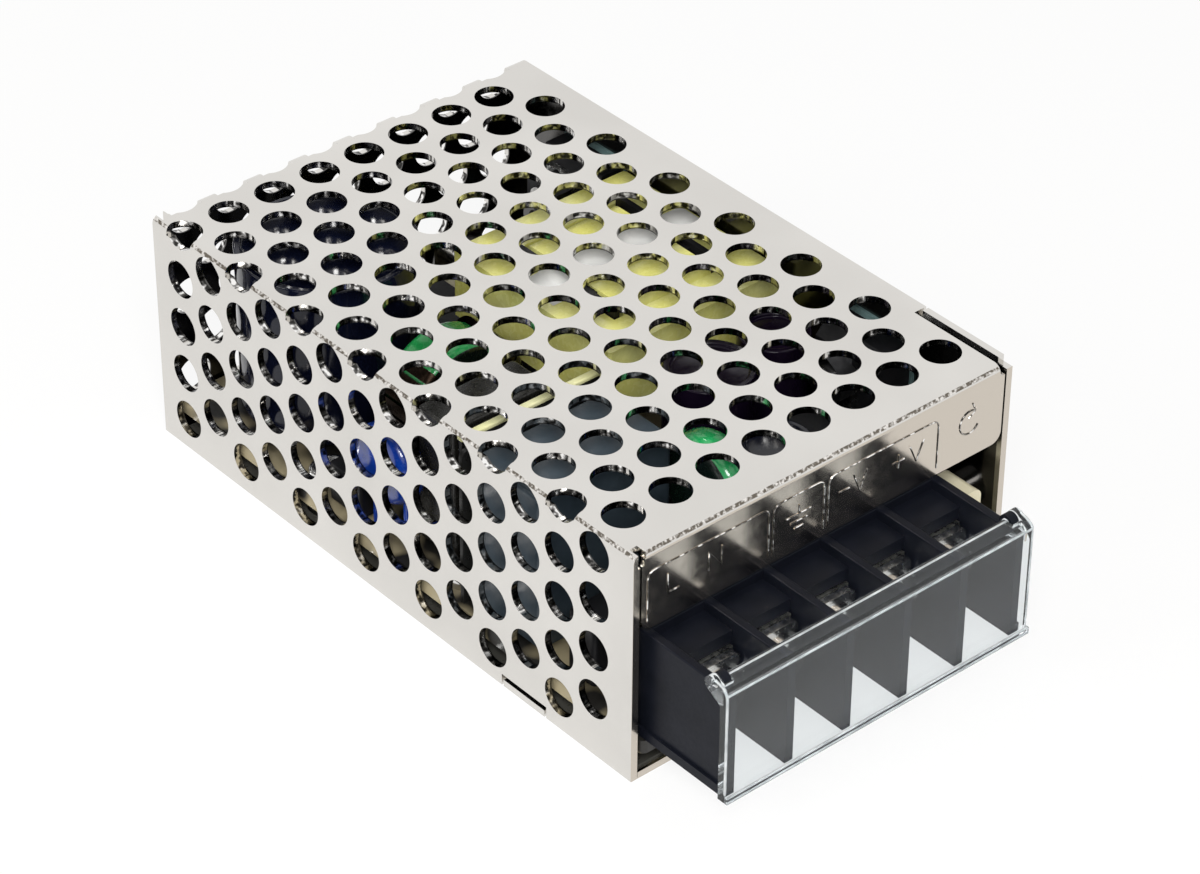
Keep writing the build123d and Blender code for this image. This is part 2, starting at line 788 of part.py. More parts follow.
# Transformer: a flat E core, a bobbin through its windows, a taped winding and taped legs
core_x, core_y = spot(core_across, core_back)
core_middle = wall_top - core_drop
core_low = core_middle - core_thick / 2
core_high = core_middle + core_thick / 2
winding_top = wall_top - winding_drop
window_width = core_width - 2 * core_yoke
window_depth = (core_depth - 2 * core_leg - core_post) / 2
with BuildPart() as transformer_core:
    with BuildSketch(Plane.XY.offset(core_low)):
        with Locations((core_x, core_y)):
            Rectangle(core_width, core_depth)
        for side in (-1, 1):
            with Locations((core_x, core_y + side * (core_post + window_depth) / 2)):
                Rectangle(window_width, window_depth, mode=Mode.SUBTRACT)
    extrude(amount=core_thick)
    # The joint between the two halves
    between(
        (core_x - core_joint / 2, core_y - core_depth, core_high - core_joint),
        (core_x + core_joint / 2, core_y + core_depth, core_high + 1),
        mode=Mode.SUBTRACT,
    )
keep(transformer_core, "transformer_core")

bobbin_half = core_post / 2 + post_gap + bobbin_wall
bobbin_span = window_width - 2 * post_gap
bobbin_flange = core_post / 2 + window_depth - post_gap
with BuildPart() as transformer_bobbin:
    between(
        (core_x - bobbin_span / 2, core_y - bobbin_half, core_low - post_gap - bobbin_wall),
        (core_x + bobbin_span / 2, core_y + bobbin_half, core_high + post_gap + bobbin_wall),
    )
    for side in (-1, 1):
        outer = core_x + side * bobbin_span / 2
        inner = outer - side * bobbin_wall
        between(
            (min(outer, inner), core_y - bobbin_flange, board_top + bobbin_foot),
            (max(outer, inner), core_y + bobbin_flange, winding_top),
        )
        # Pin rails under both ends, with the pins that reach the board
        rail = core_x + side * (bobbin_span / 2 + core_yoke / 2)
        between(
            (rail - core_yoke / 2, core_y - bobbin_flange, board_top + bobbin_foot),
            (rail + core_yoke / 2, core_y + bobbin_flange, core_low),
        )
        for pin in range(-2, 3):
            rod((rail, core_y + pin * pin_pitch, board_top), (0, 0, 1), bobbin_pin_radius, 2 * bobbin_foot)
    between(
        (core_x - bobbin_span, core_y - core_post / 2 - post_gap, core_low - post_gap),
        (core_x + bobbin_span, core_y + core_post / 2 + post_gap, core_high + post_gap),
        mode=Mode.SUBTRACT,
    )
keep(transformer_bobbin, "transformer_bobbin")

winding_half = core_post / 2 + window_depth - winding_gap
winding_span = bobbin_span / 2 - bobbin_wall - winding_end_gap
with BuildPart() as transformer_winding:
    between(
        (core_x - winding_span, core_y - winding_half, winding_bottom),
        (core_x + winding_span, core_y + winding_half, winding_top - winding_gap),
    )
    fillet(transformer_winding.edges().filter_by(Axis.X), winding_corner)
    between(
        (core_x - bobbin_span, core_y - bobbin_half, core_low - post_gap - bobbin_wall),
        (core_x + bobbin_span, core_y + bobbin_half, core_high + post_gap + bobbin_wall),
        mode=Mode.SUBTRACT,
    )
keep(transformer_winding, "transformer_winding")

# Tape round the outer legs and yokes, over the core's top and its four sides
with BuildPart() as transformer_tape:
    between(
        (core_x - core_width / 2 - tape_thick, core_y - core_depth / 2 - tape_thick, core_low),
        (core_x + core_width / 2 + tape_thick, core_y + core_depth / 2 + tape_thick, core_high + tape_thick),
    )
    fillet(transformer_tape.edges().filter_by(Axis.Z), tape_thick)
    between(
        (core_x - core_width / 2, core_y - core_depth / 2, 0),
        (core_x + core_width / 2, core_y + core_depth / 2, core_high),
        mode=Mode.SUBTRACT,
    )
    between(
        (core_x - window_width / 2, core_y - core_post / 2 - window_depth, core_high - 1),
        (core_x + window_width / 2, core_y + core_post / 2 + window_depth, core_high + 1),
        mode=Mode.SUBTRACT,
    )
keep(transformer_tape, "transformer_tape")

# Round capacitors: a sleeved can with a rolled neck and a recessed top
for node, (across, back), diameter, height in round_capacitors:
    x, y = spot(across, back)
    radius = diameter / 2
    with BuildPart() as capacitor:
        with BuildSketch(Plane(origin=(x, y, board_top), x_dir=(1, 0, 0), z_dir=(0, -1, 0))):
            with BuildLine():
                FilletPolyline(
                    (0, can_foot),
                    (radius - can_neck, can_foot),
                    (radius, can_foot + can_neck),
                    (radius, can_foot + 2 * can_neck),
                    (radius - can_neck, can_foot + 3 * can_neck),
                    (radius, can_foot + 4 * can_neck),
                    (radius, height),
                    (radius - can_rim, height),
                    (radius - can_rim, height - can_recess),
                    (0, height - can_recess),
                    radius=can_recess / 2,
                )
                Line((0, height - can_recess), (0, can_foot))
            make_face()
        revolve(axis=Axis((x, y, 0), (0, 0, 1)))
        for side in (-1, 1):
            rod((x + side * radius * lead_spread, y, board_top), (0, 0, 1), lead_radius, 2 * can_foot)
    keep(capacitor, node)

# Boxed capacitors and other moulded blocks that stand on the board
for node, (across, back), (wide, deep, tall), corner in moulded_blocks:
    x, y = spot(across, back)
    with BuildPart() as block:
        between(
            (x - wide / 2, y - deep / 2, board_top + block_foot),
            (x + wide / 2, y + deep / 2, board_top + tall),
        )
        fillet(block.edges().filter_by(Axis.Z), corner)
        fillet(block.edges().group_by(Axis.Z)[-1], corner * top_round)
        for side_x in (-1, 1):
            for side_y in (-1, 1):
                foot_x = x + side_x * (wide / 2 - corner - block_foot)
                foot_y = y + side_y * (deep / 2 - corner - block_foot)
                rod((foot_x, foot_y, board_top), (0, 0, 1), block_foot, 2 * block_foot)
    keep(block, node)

# Discs on two leads, standing on edge
for node, (across, back), diameter, thick, middle in discs:
    x, y = spot(across, back)
    with BuildPart() as disc:
        rod((x - thick / 2, y, board_top + middle), (1, 0, 0), diameter / 2, thick)
        fillet(disc.edges().filter_by(GeomType.CIRCLE), thick * disc_round)
        for side in (-1, 1):
            rod((x, y + side * diameter * disc_spread, board_top), (0, 0, 1), lead_radius, middle)
    keep(disc, node)

# Filter choke: a ring core on edge in a saddle, with one winding on each side
choke_x, choke_y = spot(choke_across, choke_back)
choke_z = board_top + saddle_thick + choke_outer + wire_thick
ring_plane = Plane(origin=(choke_x, choke_y, choke_z), x_dir=(1, 0, 0), z_dir=(0, -1, 0))
ring_axis = Axis((choke_x, choke_y, choke_z), (0, 1, 0))
with BuildPart() as choke_core:
    with BuildSketch(ring_plane):
        Circle(choke_outer)
        Circle(choke_inner, mode=Mode.SUBTRACT)
    extrude(amount=choke_thick / 2, both=True)
    fillet(choke_core.edges().filter_by(GeomType.CIRCLE), choke_round)
keep(choke_core, "choke_core")

turn_starts = [turn_step * (turn - (choke_turns - 1) / 2) - turn_width / 2 for turn in range(choke_turns)]
ring_width = choke_outer - choke_inner
with BuildPart() as choke_windings:
    for angle in turn_starts + [180 + start for start in turn_starts]:
        section = Plane(
            origin=(choke_x, choke_y, choke_z),
            x_dir=(cos(radians(angle)), 0, sin(radians(angle))),
            z_dir=(sin(radians(angle)), 0, -cos(radians(angle))),
        )
        with BuildSketch(section):
            with Locations((choke_inner + ring_width / 2, 0)):
                RectangleRounded(
                    ring_width + 2 * wire_thick, choke_thick + 2 * wire_thick, choke_round + wire_thick
                )
                RectangleRounded(ring_width, choke_thick, choke_round, mode=Mode.SUBTRACT)
        revolve(axis=ring_axis, revolution_arc=-turn_width)
keep(choke_windings, "choke_windings")

saddle_half = choke_thick / 2 + wire_thick + saddle_thick
with BuildPart() as choke_saddle:
    between(
        (choke_x - choke_outer, choke_y - saddle_half, board_top),
        (choke_x + choke_outer, choke_y + saddle_half, board_top + saddle_height),
    )
    fillet(choke_saddle.edges().filter_by(Axis.Z), saddle_thick)
    rod(
        (choke_x, choke_y - saddle_half + saddle_thick - saddle_gap, choke_z), (0, 1, 0),
        choke_outer + wire_thick, 2 * (saddle_half - saddle_thick + saddle_gap), mode=Mode.SUBTRACT,
    )
keep(choke_saddle, "choke_saddle")

# Output choke: a drum core with a winding
drum_x, drum_y = spot(*drum_point)
with BuildPart() as output_choke:
    rod((drum_x, drum_y, board_top), (0, 0, 1), drum_radius - drum_waist, drum_height)
    for low in (0, drum_height - drum_flange):
        rod((drum_x, drum_y, board_top + low), (0, 0, 1), drum_radius, drum_flange)
    fillet(output_choke.edges().filter_by(GeomType.CIRCLE).group_by(Axis.Z)[-1], drum_flange / 3)
keep(output_choke, "output_choke")

# Power packages pressed to the plain wall: pad, package, bar, screw and nut
pad_face = wall_inside - pad_thick
package_face = pad_face - package_thick
bar_face = package_face - bar_thick
lead_face = pad_face - package_thick / 2
package_top = board_top + package_foot + package_tall
for node, y in package_points:
    with BuildPart() as package:
        between(
            (package_face, y - package_wide / 2, board_top + package_foot),
            (pad_face, y + package_wide / 2, package_top),
        )
        chamfer(
            package.edges().filter_by(Axis.Y).group_by(Axis.Z)[-1].sort_by(Axis.X)[0], package_thick / 3
        )
        for lead in (-1, 0, 1):
            lead_y = y + lead * lead_pitch
            between(
                (lead_face - lead_radius, lead_y - lead_radius, board_top),
                (lead_face + lead_radius, lead_y + lead_radius, board_top + 2 * package_foot),
            )
        rod(
            (right_x, y, fixing_z), (-1, 0, 0), fixing_radius + running_gap, 3 * package_thick,
            mode=Mode.SUBTRACT,
        )
    keep(package, node)

with BuildPart() as insulating_pads:
    for _, y in package_points:
        between(
            (pad_face, y - pad_wide / 2, board_top + package_foot - pad_drop),
            (wall_inside, y + pad_wide / 2, package_top + pad_rise),
        )
        rod((right_x, y, fixing_z), (-1, 0, 0), fixing_radius + running_gap, 3 * sheet, mode=Mode.SUBTRACT)
keep(insulating_pads, "insulating_pads")

with BuildPart() as clamp_bars:
    for _, y in package_points:
        between(
            (bar_face, y - bar_wide / 2, fixing_z - bar_drop),
            (package_face, y + bar_wide / 2, fixing_z + bar_rise),
        )
        rod(
            (right_x, y, fixing_z), (-1, 0, 0), fixing_radius + running_gap, 3 * package_thick,
            mode=Mode.SUBTRACT,
        )
keep(clamp_bars, "clamp_bars")

with BuildPart() as clamp_nuts:
    for _, y in package_points:
        with BuildSketch(Plane(origin=(bar_face, y, fixing_z), z_dir=(-1, 0, 0))):
            RegularPolygon(nut_radius, 6)
            Circle(fixing_radius + running_gap, mode=Mode.SUBTRACT)
        extrude(amount=nut_thick)
keep(clamp_nuts, "clamp_nuts")

with BuildPart() as clamp_screws:
    for _, y in package_points:
        countersunk(
            (right_x, y, fixing_z), (-1, 0, 0), fixing_head_radius, fixing_radius,
            right_x - bar_face + nut_thick + fixing_tip,
        )
keep(clamp_screws, "clamp_screws")

# Small chips with their legs
for node, (across, back), (wide, deep) in chips:
    x, y = spot(across, back)
    legs = round(deep / lead_pitch)
    with BuildPart() as chip:
        between(
            (x - wide / 2, y - deep / 2, board_top + chip_foot),
            (x + wide / 2, y + deep / 2, board_top + chip_foot + chip_tall),
        )
        chamfer(chip.edges().group_by(Axis.Z)[-1], chip_edge)
        for side in (-1, 1):
            for leg in range(legs):
                leg_y = y + (leg - (legs - 1) / 2) * lead_pitch
                leg_x = x + side * (wide / 2 + leg_thick / 2)
                between(
                    (leg_x - leg_thick / 2, leg_y - leg_wide / 2, board_top),
                    (leg_x + leg_thick / 2, leg_y + leg_wide / 2, board_top + chip_foot + chip_tall / 2),
                )
    keep(chip, node)

# Parts that lie along the board on bent leads
for node, barrel_radius, barrel_length, places in axial_parts:
    reach = barrel_length / 2 + axial_bend
    with BuildPart() as axial:
        for place in places:
            x, y = spot(*place)
            z = board_top + barrel_radius + axial_lift
            rod((x, y - barrel_length / 2, z), (0, 1, 0), barrel_radius, barrel_length)
            with BuildLine():
                FilletPolyline(
                    (x, y - reach, board_top),
                    (x, y - reach, z),
                    (x, y + reach, z),
                    (x, y + reach, board_top),
                    radius=2 * lead_radius,
                )
            with BuildSketch(Plane.XY.offset(board_top)):
                with Locations((x, y - reach)):
                    Circle(lead_radius)
            sweep()
    keep(axial, node)

# Insulating wall across the input side
with BuildPart() as insulating_wall:
    x, y = spot(wall_across, wall_back)
    between((x, y, board_top), (x + wall_width, y + wall_thick, board_top + wall_height))
    fillet(insulating_wall.edges().filter_by(Axis.Y).group_by(Axis.Z)[-1], wall_corner)
keep(insulating_wall, "insulating_wall")
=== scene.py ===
"""Look of the enclosed switching power supply, in metres, in the frame of its solids."""
import bmesh
import bpy
from math import cos, radians, sin
from mathutils import Matrix, Vector


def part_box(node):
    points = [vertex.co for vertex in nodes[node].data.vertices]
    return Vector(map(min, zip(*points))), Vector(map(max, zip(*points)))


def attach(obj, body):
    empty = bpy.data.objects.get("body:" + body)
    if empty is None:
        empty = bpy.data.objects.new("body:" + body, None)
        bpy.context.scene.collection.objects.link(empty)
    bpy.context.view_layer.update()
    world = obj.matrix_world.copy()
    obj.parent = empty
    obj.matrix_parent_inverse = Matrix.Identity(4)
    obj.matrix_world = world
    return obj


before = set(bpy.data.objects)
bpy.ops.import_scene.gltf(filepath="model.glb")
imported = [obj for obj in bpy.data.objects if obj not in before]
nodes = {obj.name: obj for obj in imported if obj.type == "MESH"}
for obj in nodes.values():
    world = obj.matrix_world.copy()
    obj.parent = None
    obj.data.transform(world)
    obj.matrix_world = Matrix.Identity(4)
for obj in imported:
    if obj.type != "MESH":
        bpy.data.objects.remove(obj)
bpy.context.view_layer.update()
MM = 0.001

# Main sizes of the case, in millimetres, as the solids have them
CASE_WIDTH, CASE_LENGTH, CASE_HEIGHT = 51.0, 78.0, 28.0
LEFT, FRONT = -CASE_WIDTH / 2, -CASE_LENGTH / 2
BOARD_TOP = 4.6
SHEET = 0.8
TERMINALS = range(1, 6)


# Objects
def add_object(name, data):
    added = bpy.data.objects.new(name, data)
    bpy.context.scene.collection.objects.link(added)
    return added


def add_piece(name, data, body):
    """A piece that rides on a body."""
    piece = add_object(name, data)
    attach(piece, body)
    return piece


# Camera, at the photograph's place: millimetres, and the directions to its right and ahead of it
CAMERA_PLACE = (-237.085, -277.651, 273.064)
CAMERA_RIGHT = (0.758157, -0.652041, 0.006405)
CAMERA_AHEAD = (0.530979, 0.611631, -0.586489)
CAMERA_LENS = 126.947


def aim_camera():
    camera_data = bpy.data.cameras.new("camera")
    camera_data.sensor_width = 36.0
    camera_data.lens = CAMERA_LENS
    camera_data.clip_start = 0.01
    camera = add_object("camera", camera_data)
    right = Vector(CAMERA_RIGHT).normalized()
    ahead = Vector(CAMERA_AHEAD).normalized()
    above = right.cross(ahead).normalized()
    right = ahead.cross(above).normalized()
    turn = Matrix((right, above, -ahead)).transposed().to_4x4()
    camera.matrix_world = Matrix.Translation(Vector(CAMERA_PLACE) * MM) @ turn
    bpy.context.scene.camera = camera


aim_camera()

# Material helpers: most of a noise's values lie between these two
NOISE_LOW, NOISE_HIGH = 0.3, 0.7
COAT_ROUGHNESS = 0.08


def new_material(name):
    material = bpy.data.materials.new(name)
    material.use_nodes = True
    tree = material.node_tree
    return material, tree, tree.nodes["Principled BSDF"]


def noise(tree, scale, detail=3.0):
    """A noise texture in the object's own metres; scale is features per metre."""
    place = tree.nodes.new("ShaderNodeTexCoord")
    texture = tree.nodes.new("ShaderNodeTexNoise")
    texture.inputs["Scale"].default_value = scale
    texture.inputs["Detail"].default_value = detail
    tree.links.new(place.outputs["Object"], texture.inputs["Vector"])
    return texture.outputs["Fac"]


def ramp(tree, source, *stops):
    """A colour ramp; each stop is a position and a colour."""
    node = tree.nodes.new("ShaderNodeValToRGB")
    elements = node.color_ramp.elements
    while len(elements) < len(stops):
        elements.new(0.5)
    for element, (position, colour) in zip(elements, stops):
        element.position = position
        element.color = (*colour, 1.0)
    tree.links.new(source, node.inputs["Fac"])
    return node.outputs["Color"]


def mottle(tree, source, dark, light):
    """A colour that follows a noise from dark to light."""
    return ramp(tree, source, (NOISE_LOW, dark), (NOISE_HIGH, light))


def level(tree, source, low, high):
    """A noise as a number from low to high."""
    node = tree.nodes.new("ShaderNodeMapRange")
    node.inputs["From Min"].default_value = NOISE_LOW
    node.inputs["From Max"].default_value = NOISE_HIGH
    node.inputs["To Min"].default_value = low
    node.inputs["To Max"].default_value = high
    tree.links.new(source, node.inputs["Value"])
    return node.outputs["Result"]


def bump(tree, source, depth, shader):
    """Relief that is depth metres high."""
    node = tree.nodes.new("ShaderNodeBump")
    node.inputs["Strength"].default_value = 1.0
    node.inputs["Distance"].default_value = depth
    tree.links.new(source, node.inputs["Height"])
    tree.links.new(node.outputs["Normal"], shader.inputs["Normal"])


def maths(tree, operation, first, second=None):
    """One sum on numbers or on other nodes' results."""
    node = tree.nodes.new("ShaderNodeMath")
    node.operation = operation
    for socket, value in zip(node.inputs, (first, second)):
        if isinstance(value, (int, float)):
            socket.default_value = value
        elif value is not None:
            tree.links.new(value, socket)
    return node.outputs["Value"]


def product(tree, first, *others):
    for other in others:
        first = maths(tree, "MULTIPLY", first, other)
    return first


def largest(tree, first, *others):
    for other in others:
        first = maths(tree, "MAXIMUM", first, other)
    return first


def blend_colour(tree, share, first, second):
    """A colour between two others; each is a node's result or a plain colour."""
    node = tree.nodes.new("ShaderNodeMix")
    node.data_type = "RGBA"
    first_socket, second_socket = node.inputs[6], node.inputs[7]
    tree.links.new(share, node.inputs["Factor"])
    for socket, value in ((first_socket, first), (second_socket, second)):
        if isinstance(value, tuple):
            socket.default_value = (*value, 1.0)
        else:
            tree.links.new(value, socket)
    return node.outputs[2]


def parts_of(tree, vector):
    node = tree.nodes.new("ShaderNodeSeparateXYZ")
    tree.links.new(vector, node.inputs["Vector"])
    return [node.outputs[axis] for axis in "XYZ"]


def mix_shaders(tree, share, first, second, output):
    node = tree.nodes.new("ShaderNodeMixShader")
    tree.links.new(share, node.inputs["Fac"])
    tree.links.new(first, node.inputs[1])
    tree.links.new(second, node.inputs[2])
    tree.links.new(node.outputs["Shader"], tree.nodes[output].inputs["Surface"])


def finish(
    name, dark, light, rough, metal=0.0, scale=300.0, grain=1500.0, depth=2e-6, coat=0.0, specular=0.5
):
    """A surface whose colour and gloss vary a little, with a fine grain."""
    material, tree, shader = new_material(name)
    fine = noise(tree, grain, detail=2.0)
    tree.links.new(mottle(tree, noise(tree, scale), dark, light), shader.inputs["Base Color"])
    tree.links.new(level(tree, fine, *rough), shader.inputs["Roughness"])
    shader.inputs["Metallic"].default_value = metal
    shader.inputs["Specular IOR Level"].default_value = specular
    shader.inputs["Coat Weight"].default_value = coat
    shader.inputs["Coat Roughness"].default_value = COAT_ROUGHNESS
    bump(tree, fine, depth, shader)
    return material


def dress(material, *names):
    for name in names:
        data = nodes[name].data
        data.materials.clear()
        data.materials.append(material)


# How far in from the case's outside the sheet's look changes, in millimetres
INSIDE_DEPTH = 0.82 * SHEET
FOLD_REACH = 1.05
FLANGE_REACH = 0.05

# Parts of a normal: on a flat face, from side to side of a fold's crest, and along that fold
FLAT_NORMAL = 0.985
CREST_FROM, CREST_TO = 0.62, 0.88
CREST_LEAN = 0.1


def sheet_masks(tree):
    """Masks of 0 or 1: inside the case, walls of the punched holes, crests of the folds, flange."""
    place = tree.nodes.new("ShaderNodeTexCoord")
    x, y, z = parts_of(tree, place.outputs["Object"])
    beside = maths(tree, "ABSOLUTE", x)
    along = maths(tree, "ABSOLUTE", y)
    normal = [maths(tree, "ABSOLUTE", part) for part in parts_of(tree, place.outputs["Normal"])]
    inside = product(
        tree,
        maths(tree, "LESS_THAN", beside, (CASE_WIDTH / 2 - INSIDE_DEPTH) * MM),
        maths(tree, "LESS_THAN", along, (CASE_LENGTH / 2 - INSIDE_DEPTH) * MM),
        maths(tree, "LESS_THAN", z, (CASE_HEIGHT - INSIDE_DEPTH) * MM),
        maths(tree, "GREATER_THAN", z, INSIDE_DEPTH * MM),
    )
    at_top = maths(tree, "GREATER_THAN", z, (CASE_HEIGHT - FOLD_REACH) * MM)
    at_end = maths(tree, "GREATER_THAN", along, (CASE_LENGTH / 2 - FOLD_REACH) * MM)
    at_left = maths(tree, "LESS_THAN", x, (LEFT + FOLD_REACH) * MM)
    at_fold = product(tree, at_top, largest(tree, at_end, at_left))
    curved = maths(tree, "LESS_THAN", largest(tree, *normal), FLAT_NORMAL)
    hole_wall = product(tree, curved, maths(tree, "SUBTRACT", 1.0, at_fold))
    tilt = largest(tree, normal[0], normal[1])
    crest = product(
        tree,
        maths(tree, "GREATER_THAN", tilt, CREST_FROM),
        maths(tree, "LESS_THAN", tilt, CREST_TO),
        maths(tree, "LESS_THAN", maths(tree, "MINIMUM", normal[0], normal[1]), CREST_LEAN),
        at_fold,
    )
    flange = maths(tree, "LESS_THAN", y, (FRONT + FLANGE_REACH) * MM)
    return inside, hole_wall, crest, flange


def plated_sheet(name):
    """Bright sheet, with painted light: painted shade inside the case, painted glints and shade on the walls
    of the punched holes, a painted dark reflection with glints on the folds' crests, and a darker, warmer
    painted reflection on the flange's front face.
    """
    material, tree, shader = new_material(name)
    inside, hole_wall, crest, flange = sheet_masks(tree)
    fine = noise(tree, 900.0, detail=2.0)
    plain = mottle(tree, noise(tree, 60.0), (0.665, 0.645, 0.612), (0.73, 0.71, 0.675))
    # Walls of the punched holes: an uneven punched edge, with painted shade in its near-black bands and
    # painted glints in its bright ones.
    painted_hole_glints = ramp(
        tree,
        noise(tree, 1500.0, detail=1.0),
        (0.42, (0.035, 0.034, 0.032)),
        (0.52, (0.30, 0.29, 0.28)),
        (0.6, (0.92, 0.91, 0.89)),
    )
    # Crests of the folds: a painted dark reflection, speckled with painted glints.
    painted_fold_reflection = ramp(
        tree,
        noise(tree, 2600.0, detail=1.0),
        (0.42, (0.16, 0.14, 0.115)),
        (0.66, (0.80, 0.77, 0.73)),
    )
    # Front face of the flange: a painted reflection, darker and warmer than the rest of the sheet.
    colour = blend_colour(tree, flange, plain, (0.60, 0.545, 0.475))
    colour = blend_colour(tree, hole_wall, colour, painted_hole_glints)
    colour = blend_colour(tree, crest, colour, painted_fold_reflection)
    # Inside of the case: painted shade, a dark grey laid over the sheet's own colour.
    colour = blend_colour(tree, inside, colour, (0.115, 0.112, 0.108))
    tree.links.new(colour, shader.inputs["Base Color"])
    tree.links.new(level(tree, fine, 0.12, 0.19), shader.inputs["Roughness"])
    shader.inputs["Metallic"].default_value = 1.0
    bump(tree, fine, 1.2e-6, shader)
    return material


# Rings and discs
FACE_NORMAL = 0.8


def rimmed(name, dark, light, face, axis):
    """A ring or disc about the axis of that number: coloured on its rim, dark on its flat faces."""
    material, tree, shader = new_material(name)
    place = tree.nodes.new("ShaderNodeTexCoord")
    across = maths(tree, "ABSOLUTE", parts_of(tree, place.outputs["Normal"])[axis])
    on_face = maths(tree, "GREATER_THAN", across, FACE_NORMAL)
    fine = noise(tree, 1800.0, detail=2.0)
    rim = mottle(tree, noise(tree, 300.0), dark, light)
    tree.links.new(blend_colour(tree, on_face, rim, face), shader.inputs["Base Color"])
    tree.links.new(level(tree, fine, 0.18, 0.32), shader.inputs["Roughness"])
    shader.inputs["Coat Weight"].default_value = 0.5
    shader.inputs["Coat Roughness"].default_value = COAT_ROUGHNESS
    bump(tree, fine, 8e-6, shader)
    return material


# Circuit board
def laminate(name):
    """Tan board, darkened overall, with near-black blotches: painted shade."""
    material, tree, shader = new_material(name)
    fine = noise(tree, 1800.0, detail=2.0)
    # Near-black blotches over a darkened tan: painted shade on the board.
    painted_shade_patches = ramp(
        tree,
        noise(tree, 170.0, detail=1.0),
        (0.46, (0.012, 0.011, 0.009)),
        (0.56, (0.34, 0.29, 0.18)),
    )
    tree.links.new(painted_shade_patches, shader.inputs["Base Color"])
    tree.links.new(level(tree, fine, 0.4, 0.55), shader.inputs["Roughness"])
    bump(tree, fine, 4e-6, shader)
    return material


# Clear cover
def clear_plastic(name):
    """Clear moulding: refracts for the eye, and lets light through where a shadow would fall."""
    material, tree, shader = new_material(name)
    shader.inputs["Base Color"].default_value = (0.80, 0.83, 0.84, 1.0)
    shader.inputs["Transmission Weight"].default_value = 0.99
    shader.inputs["Specular IOR Level"].default_value = 0.3
    shader.inputs["IOR"].default_value = 1.3
    fine = noise(tree, 400.0, detail=2.0)
    tree.links.new(level(tree, fine, 0.015, 0.05), shader.inputs["Roughness"])
    bump(tree, fine, 1.5e-6, shader)
    path = tree.nodes.new("ShaderNodeLightPath")
    see_through = tree.nodes.new("ShaderNodeBsdfTransparent")
    see_through.inputs["Color"].default_value = (0.85, 0.87, 0.87, 1.0)
    mix_shaders(
        tree,
        path.outputs["Is Shadow Ray"],
        shader.outputs["BSDF"],
        see_through.outputs["BSDF"],
        "Material Output",
    )
    return material


# Materials of the metal parts
sheet_metal = plated_sheet("sheet_metal")
bright_screw = finish("bright_screw", (0.62, 0.61, 0.59), (0.78, 0.77, 0.75), (0.12, 0.24), metal=1.0)
tin = finish("tin", (0.55, 0.55, 0.50), (0.70, 0.70, 0.64), (0.22, 0.4), metal=1.0, scale=500.0)
dull_nut = finish("dull_nut", (0.03, 0.03, 0.032), (0.07, 0.07, 0.073), (0.3, 0.45), metal=1.0, scale=500.0)
clamp_steel = finish("clamp_steel", (0.60, 0.61, 0.60), (0.80, 0.81, 0.80), (0.15, 0.3), metal=1.0)
copper_wire = finish(
    "copper_wire", (0.010, 0.007, 0.005), (0.024, 0.015, 0.010), (0.2, 0.32), metal=1.0, scale=700.0
)

# Materials of the plastic, ceramic and film parts
black_moulding = finish(
    "black_moulding", (0.0050, 0.0060, 0.0095), (0.0080, 0.0092, 0.0145), (0.3, 0.42),
    grain=2500.0, depth=3e-6, specular=0.1,
)
black_resin = finish(
    "black_resin", (0.006, 0.006, 0.007), (0.012, 0.012, 0.014), (0.35, 0.5),
    grain=3000.0, specular=0.25,
)
cream = finish("cream_moulding", (0.70, 0.64, 0.44), (0.78, 0.73, 0.54), (0.35, 0.5), grain=2000.0)
ferrite = finish(
    "ferrite", (0.010, 0.010, 0.011), (0.022, 0.022, 0.023), (0.5, 0.7), grain=2500.0, depth=6e-6
)
navy_sleeve = finish(
    "navy_sleeve", (0.003, 0.004, 0.012), (0.006, 0.008, 0.022), (0.06, 0.12), coat=0.1, specular=0.3
)
purple_sleeve = finish(
    "purple_sleeve", (0.008, 0.004, 0.014), (0.014, 0.007, 0.022), (0.1, 0.2), coat=0.05, specular=0.25
)
blue_epoxy = finish(
    "blue_epoxy", (0.004, 0.035, 0.30), (0.008, 0.06, 0.42), (0.15, 0.3), coat=0.5, depth=8e-6
)
green_epoxy = rimmed("green_epoxy", (0.004, 0.34, 0.08), (0.05, 0.60, 0.20), (0.004, 0.012, 0.008), 0)
green_ring = rimmed("green_ring", (0.004, 0.30, 0.06), (0.03, 0.50, 0.12), (0.004, 0.010, 0.007), 1)
slate_box = finish("slate_box", (0.035, 0.052, 0.068), (0.055, 0.076, 0.095), (0.3, 0.45), grain=2200.0)
brown_box = finish("brown_box", (0.012, 0.0115, 0.010), (0.030, 0.029, 0.025), (0.2, 0.35), grain=2200.0)
pale_film = finish("pale_film", (0.97, 0.95, 0.46), (0.99, 0.97, 0.60), (0.25, 0.4), scale=120.0)
dark_film = finish("dark_film", (0.012, 0.012, 0.011), (0.022, 0.022, 0.020), (0.25, 0.4), scale=120.0)
under_film = finish("under_film", (0.045, 0.044, 0.038), (0.08, 0.078, 0.068), (0.25, 0.4), scale=120.0)
teal_pad = finish("teal_pad", (0.10, 0.17, 0.17), (0.14, 0.22, 0.22), (0.55, 0.7), grain=1500.0)
yellow_film = finish(
    "yellow_film", (0.97, 0.93, 0.22), (1.0, 0.98, 0.38), (0.18, 0.34), scale=150.0, coat=0.3
)
paper = finish(
    "white_paper", (0.84, 0.84, 0.81), (0.92, 0.92, 0.90), (0.5, 0.65), scale=200.0, specular=0.3
)
board = laminate("board_laminate")
clear = clear_plastic("clear_moulding")
# Opaque pale grey for the beads on the clear cover's edges: painted highlights.
painted_edge_glint = finish(
    "painted_edge_glint", (0.30, 0.32, 0.33), (0.62, 0.64, 0.65), (0.12, 0.25), scale=500.0, coat=0.5
)

